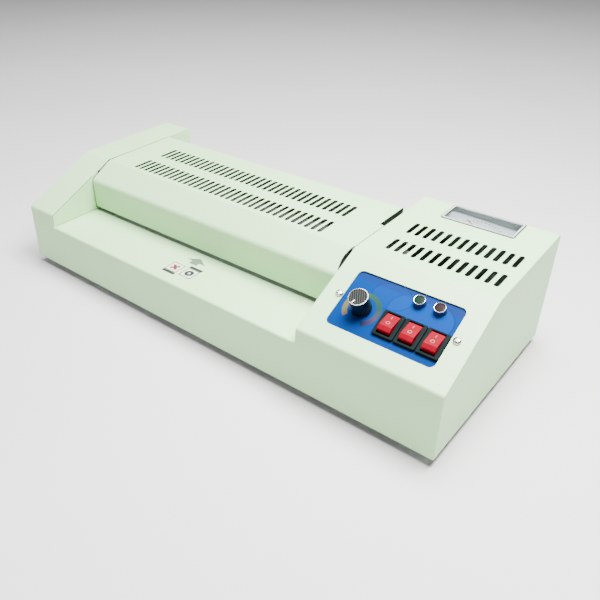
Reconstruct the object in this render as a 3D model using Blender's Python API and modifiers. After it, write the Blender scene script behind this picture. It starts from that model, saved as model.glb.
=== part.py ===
"""Pouch laminator for pouches up to 320 mm wide: sheet-metal case, hood, four driven rollers,
control plate with knob, rockers and lamps, and a needle thermometer.

Lengths below are millimetres. X runs from the left side, Y from the front face and Z from the
bottom edge of the case; at() turns them into world metres, with the origin at the middle of the
footprint on the surface that the feet stand on.
"""
import math

import bpy
import bmesh
from mathutils import Matrix, Vector

MM = 0.001
GAP = 0.3
RUN_GAP = 0.08
SHEET = 1.2

# case
WIDTH = 500.0
DEPTH = 210.0
FRONT_H = 60.0
CREASE_Y = 82.0
CREASE_H = 101.0
REAR_H = 106.0
CHEEK_X = 40.0
HOUSING_X = 370.0
TRAY_FRONT_H = 46.0
TRAY_BACK_H = 48.0
TRAY_Y = 64.0
EXIT_Y = 168.0
FOOT_H = 8.0
BELOW = 12.0

# hood
HOOD_FRONT_Y = 57.5
HOOD_REAR_Y = 175.0
HOOD_EDGE_H = 52.8
HOOD_BEND = (56.5, 84.0)
HOOD_SIDE_GAP = 1.2
HOOD_NOTCH_Y = (58.7, 84.0)
HOOD_NOTCHES = (2.4, 3.4)
VENT_W = 3.8
HOOD_VENTS = 34
HOOD_VENT_X = (82.0, 328.5)
HOOD_VENT_ROWS = ((85.5, 110.0), (124.0, 148.5))
CASE_VENTS = 13
CASE_VENT_X = (392.8, 488.6)
CASE_VENT_ROWS = ((95.5, 116.5), (130.5, 152.5))

# rollers and gears
NIP_H = 52.0
HOT_Y = 95.0
MODULE = 25.4 / 16
BIG_TEETH = 16
SMALL_TEETH = 12
LOW_H = NIP_H - BIG_TEETH * MODULE / 2
UP_H = NIP_H + BIG_TEETH * MODULE / 2
CENTRES = (BIG_TEETH + SMALL_TEETH) * MODULE / 2
IDLER_Y = HOT_Y + CENTRES
PULL_Y = HOT_Y + 2 * CENTRES
PINION_ANGLE = math.radians(-30)
PINION_Y = PULL_Y + CENTRES * math.cos(PINION_ANGLE)
PINION_H = LOW_H + CENTRES * math.sin(PINION_ANGLE)
ROLLER_R = 12.5
CORE_R = 9.0
JOURNAL_R = 4.0
ROLLER_X = (43.0, 367.0)
JOURNAL_X = (27.0, 393.6)
FRAME_T = 1.6
FRAME_X = (30.0, 380.0)
GEAR_X = (383.0, 391.0)
STUB_R = 3.0

# control panel, measured in the panel's own plane: u along X, v up the slope, w outwards
PANEL_TILT = math.atan2(CREASE_H - FRONT_H, CREASE_Y)
PLATE_U = (387.5, 482.5)
PLATE_V = (16.2, 73.0)
PLATE_TOP_W = -SHEET - GAP
PLATE_T = 1.5
PLATE_SCREWS = ((384.2, 44.6), (487.2, 44.6))
KNOB_UV = (408.0, 40.0)
KNOB_R = 8.6
KNOB_TOP_W = 15.5
LAMPS_UV = ((446.6, 63.9), (463.8, 63.9))
LAMP_R = 5.5
SWITCH_U = (435.4, 454.1, 472.8)
SWITCH_V = (23.4, 46.8)
SWITCH_W = 18.2
ROCKER_W = 11.4
ROCKER_AXIS = (35.4, -3.0)

# thermometer window on the top face, in that face's plane
TOP_TILT = math.atan2(REAR_H - CREASE_H, DEPTH - CREASE_Y)
WINDOW_U = (402.0, 470.0)
WINDOW_V = (95.0, 124.6)
METER_UV = (436.0, 99.5)

PARTS = None
CUTTERS = None


def at(x, y, z):
    """World position, in metres, of a point given in case millimetres."""
    return Vector(((x - WIDTH / 2) * MM, (y - DEPTH / 2) * MM, (z + FOOT_H) * MM))


def basis(u, v, origin):
    """Placement with local X along u, local Y along v and local Z along their cross product."""
    u, v = Vector(u), Vector(v)
    w = u.cross(v)
    rows = [[u[i], v[i], w[i], origin[i]] for i in range(3)]
    return Matrix(rows + [[0, 0, 0, 1]])


def along_x(x=0.0, y=0.0, z=0.0):
    """Local XY is the case's Y and Z; local Z runs along X."""
    return basis((0, 1, 0), (0, 0, 1), at(x, y, z))


def upright(x=0.0, y=0.0, z=0.0):
    return basis((1, 0, 0), (0, 1, 0), at(x, y, z))


def facing_rear(x=0.0, y=0.0, z=0.0):
    """Local Z runs to the rear."""
    return basis((-1, 0, 0), (0, 0, 1), at(x, y, z))


def on_panel(u=0.0, v=0.0, w=0.0):
    c, s = math.cos(PANEL_TILT), math.sin(PANEL_TILT)
    return basis((1, 0, 0), (0, c, s), at(u, v * c - w * s, FRONT_H + v * s + w * c))


def on_top(u=0.0, v=0.0, w=0.0):
    c, s = math.cos(TOP_TILT), math.sin(TOP_TILT)
    return basis((1, 0, 0), (0, c, s), at(u, CREASE_Y + v * c - w * s, CREASE_H + v * s + w * c))


# ---- flat outlines ---------------------------------------------------------------------------

def rounded(points, radii, steps=4):
    """Outline with an arc at each corner that has a radius; radii maps corner index to radius."""
    out = []
    count = len(points)
    for i, point in enumerate(points):
        p = Vector(point)
        r = radii.get(i, 0) if isinstance(radii, dict) else radii
        if not r:
            out.append(tuple(p))
            continue
        a = (Vector(points[i - 1]) - p).normalized()
        b = (Vector(points[(i + 1) % count]) - p).normalized()
        half = a.angle(b) / 2
        centre = p + (a + b).normalized() * (r / math.sin(half))
        start = p + a * (r / math.tan(half)) - centre
        end = p + b * (r / math.tan(half)) - centre
        turn = start.angle_signed(end)
        for k in range(steps + 1):
            out.append(tuple(centre + Matrix.Rotation(-turn * k / steps, 2) @ start))
    return out


def inset(points, t):
    """Counter-clockwise outline moved inwards by t."""
    lines = []
    count = len(points)
    for i in range(count):
        a, b = Vector(points[i]), Vector(points[(i + 1) % count])
        d = (b - a).normalized()
        lines.append((a + Vector((-d.y, d.x)) * t, d))
    out = []
    for i in range(count):
        (p, d), (q, e) = lines[i - 1], lines[i]
        k = ((q - p).x * e.y - (q - p).y * e.x) / (d.x * e.y - d.y * e.x)
        out.append(tuple(p + d * k))
    return out


def rect(x0, x1, y0, y1, r=0.0, steps=4):
    return rounded([(x0, y0), (x1, y0), (x1, y1), (x0, y1)], r, steps)


def circle(x, y, r, steps=32):
    turn = 2 * math.pi / steps
    return [(x + r * math.cos(turn * i), y + r * math.sin(turn * i)) for i in range(steps)]


def slot(x, y0, y1, width, steps=4):
    """Slot along Y with round ends; steps is the number of flats on each end."""
    r = width / 2
    turn = [math.pi * k / steps for k in range(steps + 1)]
    rear = [(x + r * math.cos(t), y1 - r + r * math.sin(t)) for t in turn]
    front = [(x - r * math.cos(t), y0 + r - r * math.sin(t)) for t in turn]
    return rear + front


def gear_outline(teeth, phase, backlash=0.14):
    """Involute gear outline, 20 degree pressure angle; phase is the angle of one tooth's middle."""
    r = teeth * MODULE / 2
    base = r * math.cos(math.radians(20))

    def half(radius):
        press = math.acos(min(1.0, base / radius))
        start = math.tan(math.radians(20)) - math.radians(20)
        return math.pi / (2 * teeth) - backlash / (2 * r) + start - (math.tan(press) - press)

    radii = [r - 1.05 * MODULE, r, r + 0.85 * MODULE]
    out = []
    for k in range(teeth):
        mid = phase + 2 * math.pi * k / teeth
        flank = [(q, mid - half(q)) for q in radii] + [(q, mid + half(q)) for q in reversed(radii)]
        out += [(q * math.cos(t), q * math.sin(t)) for q, t in flank]
    return out


def meshed_phase(teeth_a, phase_a, teeth_b, direction):
    """Phase of gear B so that it meshes with gear A, which lies the opposite way from direction."""
    part = ((direction - phase_a) * teeth_a / (2 * math.pi)) % 1
    return direction + math.pi - (0.5 - part) * 2 * math.pi / teeth_b


# ---- solids ------------------------------------------------------------------------------------

def finish_mesh(mesh, merge=1e-6):
    bm = bmesh.new()
    bm.from_mesh(mesh)
    bmesh.ops.remove_doubles(bm, verts=bm.verts, dist=merge)
    bmesh.ops.recalc_face_normals(bm, faces=bm.faces)
    bm.to_mesh(mesh)
    bm.free()
    return mesh


def evaluated(obj):
    """Mesh of an object with its modifiers, or of a curve; the object is removed."""
    bpy.context.scene.collection.objects.link(obj)
    graph = bpy.context.evaluated_depsgraph_get()
    mesh = bpy.data.meshes.new_from_object(obj.evaluated_get(graph))
    data = obj.data
    bpy.data.objects.remove(obj)
    (bpy.data.curves if isinstance(data, bpy.types.Curve) else bpy.data.meshes).remove(data)
    return finish_mesh(mesh)


def prism(loops, w0, w1):
    """Mesh of one or more closed loops, in millimetres, extruded from w0 to w1."""
    if isinstance(loops[0][0], (int, float)):
        loops = [loops]
    curve = bpy.data.curves.new("outline", "CURVE")
    curve.dimensions = "2D"
    curve.fill_mode = "BOTH"
    curve.extrude = abs(w1 - w0) / 2 * MM
    for loop in loops:
        spline = curve.splines.new("POLY")
        spline.points.add(len(loop) - 1)
        for point, (x, y) in zip(spline.points, loop):
            point.co = (x * MM, y * MM, 0, 1)
        spline.use_cyclic_u = True
    mesh = evaluated(bpy.data.objects.new("outline", curve))
    mesh.transform(Matrix.Translation((0, 0, (w0 + w1) / 2 * MM)))
    return mesh


def lathe(profile, steps=32):
    """Mesh turned about local Z from (radius, height) points listed down the outer side."""
    mesh = bpy.data.meshes.new("profile")
    verts = [(r * MM, 0, h * MM) for r, h in profile]
    count = len(profile)
    closed = profile[0][0] > 0 and profile[-1][0] > 0
    edges = [(i, (i + 1) % count) for i in range(count if closed else count - 1)]
    mesh.from_pydata(verts, edges, [])
    obj = bpy.data.objects.new("profile", mesh)
    screw = obj.modifiers.new("Screw", "SCREW")
    screw.axis = "Z"
    screw.steps = steps
    screw.render_steps = steps
    screw.use_merge_vertices = True
    screw.merge_threshold = 1e-6
    return evaluated(obj)


def box(x0, x1, y0, y1, z0, z1):
    """Box mesh in case millimetres, for an object placed with upright(0, 0, 0)."""
    return prism(rect(x0, x1, y0, y1), z0, z1)


def place(name, mesh, matrix, material, smooth=35):
    obj = bpy.data.objects.new(name, mesh)
    mesh.name = name
    obj.matrix_world = matrix
    PARTS.objects.link(obj)
    mesh.materials.clear()
    mesh.materials.append(material)
    if smooth:
        mesh.shade_smooth()
        mesh.set_sharp_from_angle(angle=math.radians(smooth))
    return obj


def cutter(name, mesh, matrix):
    obj = bpy.data.objects.new(name, mesh)
    obj.matrix_world = matrix
    obj.hide_render = True
    obj.display_type = "WIRE"
    CUTTERS.objects.link(obj)
    return obj


def combine(obj, operation, name, mesh, matrix):
    """Boolean of obj with a new cutter."""
    tool = cutter(name, mesh, matrix)
    boolean = obj.modifiers.new(name, "BOOLEAN")
    boolean.operation = operation
    boolean.solver = "EXACT"
    boolean.object = tool
    return tool


def cut(obj, name, mesh, matrix):
    return combine(obj, "DIFFERENCE", name, mesh, matrix)


def join(obj, name, mesh, matrix):
    return combine(obj, "UNION", name, mesh, matrix)


def bevel(obj, width, segments=2, angle=40):
    mod = obj.modifiers.new("Bevel", "BEVEL")
    mod.width = width * MM
    mod.segments = segments
    mod.limit_method = "ANGLE"
    mod.angle_limit = math.radians(angle)
    mod.use_clamp_overlap = True
    return mod


def paint(name, colour, roughness, metallic=0.0, alpha=1.0):
    mat = bpy.data.materials.new(name)
    mat.use_nodes = True
    shader = mat.node_tree.nodes["Principled BSDF"]
    shader.inputs["Base Color"].default_value = (*colour, 1)
    shader.inputs["Roughness"].default_value = roughness
    shader.inputs["Metallic"].default_value = metallic
    shader.inputs["Alpha"].default_value = alpha
    mat.diffuse_color = (*colour, alpha)
    return mat


# ---- case ----------------------------------------------------------------------------------------

def side_profile():
    return [(0, -BELOW), (DEPTH, -BELOW), (DEPTH, REAR_H), (CREASE_Y, CREASE_H), (0, FRONT_H)]


def row_of_slots(x_range, count, rows):
    step = (x_range[1] - x_range[0]) / (count - 1)
    return [slot(x_range[0] + i * step, y0, y1, VENT_W) for y0, y1 in rows for i in range(count)]


def make_case(mat):
    """One folded and welded shell: cheek, tray, exit tray and right housing."""
    outer = rounded(side_profile(), {2: 3.0, 3: 6.0, 4: 3.0})
    inner = rounded(inset(side_profile(), SHEET), {2: 1.8, 3: 4.8, 4: 1.8})
    tray = [(0, -BELOW), (TRAY_Y, -BELOW), (TRAY_Y, TRAY_BACK_H), (0, TRAY_FRONT_H)]
    exit_tray = [(EXIT_Y, -BELOW), (DEPTH, -BELOW), (DEPTH, TRAY_FRONT_H), (EXIT_Y, TRAY_BACK_H)]
    case = place("main_case", prism(outer, 0, CHEEK_X), along_x(), mat, 0)
    join(case, "case_tray", prism(rounded(tray, {3: 2.5}), CHEEK_X - 1, HOUSING_X + 1), along_x())
    join(case, "case_exit_tray", prism(rounded(exit_tray, {2: 2.5}), CHEEK_X - 1, HOUSING_X + 1),
         along_x())
    join(case, "case_housing", prism(outer, HOUSING_X, WIDTH), along_x())
    cut(case, "cheek_hollow", prism(inner, SHEET, CHEEK_X - SHEET), along_x())
    cut(case, "housing_hollow", prism(inner, HOUSING_X + SHEET, WIDTH - SHEET), along_x())
    cut(case, "open_base", box(-5, WIDTH + 5, -5, DEPTH + 5, -BELOW - 5, 0), upright())
    cut(case, "under_trays", box(30, 380, SHEET, DEPTH - SHEET, -5, 38), upright())
    for name, shape in (("tray", tray), ("exit_tray", exit_tray)):
        hollow = prism(inset(shape, SHEET), 30, 380)
        cut(case, name + "_hollow", hollow, along_x())
    cut(case, "roller_windows", box(30, 380, TRAY_Y + 2, EXIT_Y - 2, 30, 92), upright())
    cut(case, "case_vents", prism(row_of_slots(CASE_VENT_X, CASE_VENTS, CASE_VENT_ROWS), 85, 115),
        upright())
    cut(case, "panel_opening", prism(rect(*PLATE_U, *PLATE_V, 5.0, 6), -6, 6), on_panel())
    cut(case, "window_opening", prism(rect(*WINDOW_U, *WINDOW_V, 1.0, 3), -6, 6), on_top())
    holes = [circle(u, v, 1.9, 20) for u, v in PLATE_SCREWS]
    cut(case, "screw_holes", prism(holes, -6, 6), on_panel())
    cut(case, "gland_hole", prism(circle(0, 0, 8.0), -5, 5), facing_rear(455, DEPTH - SHEET, 24))
    case.data.shade_smooth()
    return case


def notch(edge, depth, side):
    """Circle that cuts a shallow crescent into one end of the hood, over its front slope."""
    half = (HOOD_NOTCH_Y[1] - HOOD_NOTCH_Y[0]) / 2
    r = (half * half + depth * depth) / (2 * depth)
    x = edge + depth - r if side == "left" else edge - depth + r
    return circle(x, HOOD_NOTCH_Y[0] + half, r, 96)


def make_hood(mat):
    """Sheet cover over the rollers, with two rows of vents and a relief at the right rear."""
    y, z = HOOD_BEND
    shape = [(HOOD_FRONT_Y, HOOD_EDGE_H), (HOOD_REAR_Y, HOOD_EDGE_H), (HOOD_REAR_Y, 104.3),
             (CREASE_Y, 100.6), (y, z)]
    x0, x1 = CHEEK_X + HOOD_SIDE_GAP, HOUSING_X - HOOD_SIDE_GAP
    hollow = inset(shape, SHEET)
    hollow[0] = (hollow[0][0], HOOD_EDGE_H - 5)
    hollow[1] = (hollow[1][0], HOOD_EDGE_H - 5)
    hood = place("hood", prism(rounded(shape, {2: 2.5, 3: 8.0, 4: 5.0}, 6), x0, x1), along_x(),
                 mat, 0)
    cut(hood, "hood_hollow", prism(rounded(hollow, {2: 1.3, 3: 6.8, 4: 3.8}, 6), x0 + SHEET,
                                   x1 - SHEET), along_x())
    cut(hood, "hood_sides", box(30, 380, HOOD_FRONT_Y + 6, HOOD_REAR_Y - 3, 40, 86), upright())
    cut(hood, "hood_relief", box(HOUSING_X - 5.6, HOUSING_X + 5, 131, HOOD_REAR_Y + 5, 40, 120),
        upright())
    for side, edge, depth in zip(("left", "right"), (x0, x1), HOOD_NOTCHES):
        cut(hood, "hood_notch_" + side, prism(notch(edge, depth, side), 78, 112), upright())
    wedge = [(x0 - 0.7, 80), (x0 + 1.4, 80), (x0 + 1.4, 84), (x0, 126), (x0 - 0.7, 126)]
    cut(hood, "hood_taper", prism(wedge, 86, 112), upright())
    cut(hood, "hood_vents", prism(row_of_slots(HOOD_VENT_X, HOOD_VENTS, HOOD_VENT_ROWS), 85, 115),
        upright())
    hood.data.shade_smooth()
    return hood


def make_base(steel, rubber, zinc):
    margin = SHEET + GAP
    vents = [slot(150 + i * 20, 70, 140, 5, 2) for i in range(10)]
    spots = [(25, 25), (WIDTH - 25, 25), (25, DEPTH - 25), (WIDTH - 25, DEPTH - 25)]
    holes = [circle(x, y, 2.3, 20) for x, y in spots]
    outline = rect(margin, WIDTH - margin, margin, DEPTH - margin, 2.0)
    place("base_plate", prism([outline] + vents + holes, GAP, GAP + SHEET), upright(), steel)
    names = ("front_left", "front_right", "rear_left", "rear_right")
    foot = [(2.3, 0), (10.0, 0), (8.8, -7.4), (8.2, -FOOT_H), (5.6, -FOOT_H), (5.3, -4.5),
            (2.3, -4.5)]
    screw = [(0, 5.0), (2.0, 5.0), (2.0, -4.8), (4.2, -4.8), (4.0, -6.6), (0, -7.2)]
    for name, (x, y) in zip(names, spots):
        place("foot_" + name, lathe(foot, 24), upright(x, y), rubber)
        place("foot_screw_" + name, lathe(screw, 16), upright(x, y), zinc)


def make_gland(mat):
    profile = [(3.5, 1.0), (7.2, 1.0), (7.7, 0.6), (7.7, -GAP), (10.0, -GAP), (10.0, -3.0),
               (3.5, -3.0)]
    place("cord_gland", lathe(profile, 24), facing_rear(455, DEPTH - SHEET, 24), mat)


# ---- rollers, gears and drive ---------------------------------------------------------------------

def make_frames(mat):
    """Two steel side frames that carry the roller journals, tied by two rods."""
    outline = rect(68, 164, GAP * 2 + SHEET, 90, 4.0)
    bores = [circle(y, z, JOURNAL_R + RUN_GAP, 24) for y in (HOT_Y, PULL_Y) for z in (LOW_H, UP_H)]
    idler = circle(IDLER_Y, LOW_H, STUB_R + RUN_GAP, 24)
    left, right = FRAME_X
    place("side_frame_left", prism([outline] + bores, left, left + FRAME_T), along_x(), mat)
    place("side_frame_right", prism([outline] + bores + [idler], right, right + FRAME_T),
          along_x(), mat)
    for name, y, z in (("front", 80, 12), ("rear", 159, 66)):
        rod = lathe([(0, right - GAP), (3, right - GAP), (3, left + FRAME_T + GAP),
                     (0, left + FRAME_T + GAP)], 20)
        place("tie_rod_" + name, rod, along_x(0, y, z), mat)


def make_roller(name, y, z, steel, rubber):
    (j0, j1), (x0, x1) = JOURNAL_X, ROLLER_X
    shaft = [(0, j1), (JOURNAL_R, j1), (JOURNAL_R, x1 + 0.8), (CORE_R, x1 + 0.8),
             (CORE_R, x0 - 0.8), (JOURNAL_R, x0 - 0.8), (JOURNAL_R, j0), (0, j0)]
    place("shaft_" + name, lathe(shaft, 24), along_x(0, y, z), steel)
    inner = CORE_R + 0.15
    sleeve = [(inner, x1), (ROLLER_R, x1), (ROLLER_R, x0), (inner, x0)]
    place("roller_" + name, lathe(sleeve, 32), along_x(0, y, z), rubber)


def make_gear(name, teeth, phase, y, z, bore, mat):
    loops = [gear_outline(teeth, phase)]
    if bore:
        loops.append(circle(0, 0, bore, 24))
    return place(name, prism(loops, *GEAR_X), along_x(0, y, z), mat, 25)


def make_drive(steel, rubber, nylon, alu):
    rollers = (("hot_lower", HOT_Y, LOW_H), ("hot_upper", HOT_Y, UP_H),
               ("pull_lower", PULL_Y, LOW_H), ("pull_upper", PULL_Y, UP_H))
    for name, y, z in rollers:
        make_roller(name, y, z, steel, rubber)
    up = math.pi / 2
    hot = 0.0
    idler = meshed_phase(BIG_TEETH, hot, SMALL_TEETH, 0.0)
    pull = meshed_phase(SMALL_TEETH, idler, BIG_TEETH, 0.0)
    pinion = meshed_phase(BIG_TEETH, pull, SMALL_TEETH, PINION_ANGLE)
    bore = JOURNAL_R + 0.15
    make_gear("gear_hot_lower", BIG_TEETH, hot, HOT_Y, LOW_H, bore, nylon)
    make_gear("gear_hot_upper", BIG_TEETH, meshed_phase(BIG_TEETH, hot, BIG_TEETH, up), HOT_Y,
              UP_H, bore, nylon)
    make_gear("gear_pull_lower", BIG_TEETH, pull, PULL_Y, LOW_H, bore, nylon)
    make_gear("gear_pull_upper", BIG_TEETH, meshed_phase(BIG_TEETH, pull, BIG_TEETH, up), PULL_Y,
              UP_H, bore, nylon)
    gear = make_gear("idler_gear", SMALL_TEETH, idler, IDLER_Y, LOW_H, 0, nylon)
    stub = [(0, GEAR_X[0] + 1), (STUB_R, GEAR_X[0] + 1), (STUB_R, 376), (0, 376)]
    join(gear, "idler_stub", lathe(stub, 24), along_x(0, IDLER_Y, LOW_H))
    gear = make_gear("motor_pinion", SMALL_TEETH, pinion, PINION_Y, PINION_H, 0, nylon)
    stub = [(0, 404), (STUB_R, 404), (STUB_R, GEAR_X[1] - 1), (0, GEAR_X[1] - 1)]
    join(gear, "pinion_shaft", lathe(stub, 24), along_x(0, PINION_Y, PINION_H))
    make_motor(steel)
    make_heaters(alu)


def make_motor(steel):
    """Flat geared motor on its bracket, to the right of the gears."""
    outline = rect(132, 186, GAP * 2 + SHEET, 56, 4.0)
    hole = circle(PINION_Y, PINION_H, 6.0, 24)
    place("motor_bracket", prism([outline, hole], 394.0, 395.6), along_x(), steel)
    r = STUB_R + RUN_GAP
    body = [(0, 418), (22, 418), (24.5, 415.5), (24.5, 395.9), (r, 395.9), (r, 405), (0, 405)]
    place("gear_motor", lathe(body, 24), along_x(0, PINION_Y, PINION_H), steel)


def make_heaters(alu):
    """Curved heating shoes, one above the upper hot roller and one below the lower."""
    x0, x1 = FRAME_X[0] + FRAME_T + GAP, FRAME_X[1] - GAP
    for name, z, mid in (("heater_upper", UP_H, 90), ("heater_lower", LOW_H, 270)):
        angles = [math.radians(mid - 52 + 8 * i) for i in range(14)]
        outer = [(17.2 * math.cos(t), 17.2 * math.sin(t)) for t in angles]
        inner = [(14.4 * math.cos(t), 14.4 * math.sin(t)) for t in reversed(angles)]
        place(name, prism(outer + inner, x0, x1), along_x(0, HOT_Y, z), alu)


def make_board(mat):
    """Power and heat control board on four legs."""
    board = place("control_board", box(425, 488, 66, 124, 9.0, 10.6), upright(), mat, 0)
    parts = (("board_block", 432, 460, 72, 94, 24), ("board_relay", 466, 482, 74, 92, 26),
             ("board_terminals", 430, 484, 112, 121, 20))
    for name, x0, x1, y0, y1, top in parts:
        join(board, name, box(x0, x1, y0, y1, 10.0, top), upright())
    legs = [circle(x, y, 2.5, 16) for x in (429, 484) for y in (70, 108)]
    join(board, "board_legs", prism(legs, GAP * 2 + SHEET, 9.8), upright())


# ---- control panel ---------------------------------------------------------------------------------

def make_control_plate(mat, zinc):
    top, under = PLATE_TOP_W, PLATE_TOP_W - PLATE_T
    loops = [rect(379.0, 492.6, 10, 79, 2.0)]
    loops += [circle(u, v, 1.9, 20) for u, v in PLATE_SCREWS]
    loops += [circle(*uv, 4.6, 20) for uv in LAMPS_UV]
    loops.append(circle(*KNOB_UV, 4.8, 24))
    loops += [rect(u - 7.3, u + 7.3, SWITCH_V[0] + 0.6, SWITCH_V[1] - 0.1) for u in SWITCH_U]
    place("control_plate", prism(loops, under, top), on_panel(), mat)
    head = [(0, 2.4), (1.6, 2.3), (2.7, 1.8), (3.3, 0.9), (3.3, GAP), (1.6, GAP), (1.6, -8.0),
            (0, -8.0)]
    for name, (u, v) in zip(("left", "right"), PLATE_SCREWS):
        screw = place("plate_screw_" + name, lathe(head, 24), on_panel(u, v), zinc)
        cross = [(-2.1, -0.3), (-0.3, -0.3), (-0.3, -2.1), (0.3, -2.1), (0.3, -0.3), (2.1, -0.3),
                 (2.1, 0.3), (0.3, 0.3), (0.3, 2.1), (-0.3, 2.1), (-0.3, 0.3), (-2.1, 0.3)]
        turned = on_panel(u, v) @ Matrix.Rotation(math.radians(17), 4, "Z")
        cut(screw, "cross_" + name, prism(cross, 1.1, 4), turned)


def make_knob(black, alu, steel, dark):
    """Temperature knob with an aluminium cap, on the shaft of the control behind the plate."""
    u, v = KNOB_UV
    top = KNOB_TOP_W
    body = [(0, top - 1.2), (7.5, top - 1.2), (7.5, top - 0.4), (7.9, top), (8.3, top - 0.3),
            (KNOB_R, 0.4), (KNOB_R - 0.4, 0), (3.2, 0), (3.2, 9.3), (0, 9.3)]
    place("knob", lathe(body, 32), on_panel(u, v), black)
    cap = [(0, top - 0.3), (6.9, top - 0.3), (7.2, top - 0.6), (7.2, top - 0.9), (0, top - 0.9)]
    place("knob_cap", lathe(cap, 32), on_panel(u, v), alu)
    shaft = [(0, 9.0), (3.0, 9.0), (3.0, -13.0), (0, -13.0)]
    place("knob_shaft", lathe(shaft, 24), on_panel(u, v), steel)
    r = 3.0 + RUN_GAP
    under = PLATE_TOP_W - PLATE_T - GAP
    pot = [(0, -13.6), (r, -13.6), (r, -1.0), (4.4, -1.0), (4.4, under), (12.0, under),
           (12.0, -14.6), (0, -14.6)]
    place("potentiometer", lathe(pot, 24), on_panel(u, v), dark)


def make_lamp(name, uv, chrome, lens):
    base = PLATE_TOP_W + GAP
    bezel = [(0, 1.0), (4.5, 1.0), (4.5, 3.5), (4.9, 3.8), (LAMP_R, 3.5), (LAMP_R, 2.6), (5.1, 2.4),
             (5.1, base), (4.2, base), (4.2, -12.0), (0, -12.0)]
    place("lamp_bezel_" + name, lathe(bezel, 28), on_panel(*uv), chrome)
    dome = [(0, 3.9), (2.2, 3.7), (4.2, 3.0), (4.2, 1.3), (0, 1.3)]
    place("lamp_lens_" + name, lathe(dome, 28), on_panel(*uv), lens)


def make_switch(number, u, dark, red):
    """Rocker switch: dark bezel and body with a pocket, and the rocker in it, side I pressed."""
    v0, v1 = SWITCH_V
    base = PLATE_TOP_W + GAP
    half = SWITCH_W / 2
    bezel = place("switch_bezel_%d" % number,
                  prism(rect(-half, half, v0, v1, 1.2, 3), base, 0.9), on_panel(u), dark, 0)
    bevel(bezel, 0.5, 2)
    body = prism(rect(-7.0, 7.0, v0 + 0.9, v1 - 0.4), -20, base + 0.5)
    join(bezel, "switch_body_%d" % number, body, on_panel(u))
    pocket = prism(rect(-ROCKER_W / 2 - GAP, ROCKER_W / 2 + GAP, v0 + 1.9, v1 - 1.2), -9, 5)
    cut(bezel, "switch_pocket_%d" % number, pocket, on_panel(u))
    vc, wc = ROCKER_AXIS
    side = [(-8.2, -1.0), (-4.0, -3.6), (5.0, -4.4), (9.0, -2.6), (9.0, 4.1), (-3.9, 7.7),
            (-8.2, 6.4)]
    side = rounded(side, {4: 0.6, 5: 1.2, 6: 1.0}, 3)
    across = basis((0, math.cos(PANEL_TILT), math.sin(PANEL_TILT)),
                   (0, -math.sin(PANEL_TILT), math.cos(PANEL_TILT)),
                   on_panel(u, vc, wc).translation)
    rocker = place("rocker_%d" % number, prism(side, -ROCKER_W / 2, ROCKER_W / 2), across, red, 0)
    bevel(rocker, 0.35, 2)


# ---- thermometer -------------------------------------------------------------------------------------

def make_meter(dark, red, clear):
    """Needle thermometer under the clear window."""
    (u0, u1), (v0, v1) = WINDOW_U, WINDOW_V
    cup = place("meter_box", prism(rect(u0 - 2, u1 + 2, v0 - 2, v1 + 0.8, 1.0), -20, -1.6),
                on_top(), dark, 0)
    cut(cup, "meter_hollow", prism(rect(u0 - 0.8, u1 + 0.8, v0 - 0.8, v1 - 0.4), -12, 2),
        on_top())
    u, v = METER_UV
    lean = math.radians(140)
    side = Vector((-math.sin(lean), math.cos(lean)))
    out = Vector((math.cos(lean), math.sin(lean)))
    shape = [tuple(side * -1.0 - out * 3), tuple(side * -0.25 + out * 20),
             tuple(side * 0.25 + out * 20), tuple(side - out * 3)]
    needle = place("meter_needle", prism(shape, -6.0, -5.2), on_top(u, v), red, 0)
    join(needle, "needle_hub", prism(circle(0, 0, 2.2, 24), -11.7, -4.8), on_top(u, v))
    pane = place("meter_window", prism(rect(u0 + GAP, u1 - GAP, v0 + GAP, v1 - GAP, 0.8, 3), -1.2,
                                       1.0), on_top(), clear, 0)
    bevel(pane, 0.4, 2)


def clear_scene():
    for obj in list(bpy.data.objects):
        bpy.data.objects.remove(obj, do_unlink=True)


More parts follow.
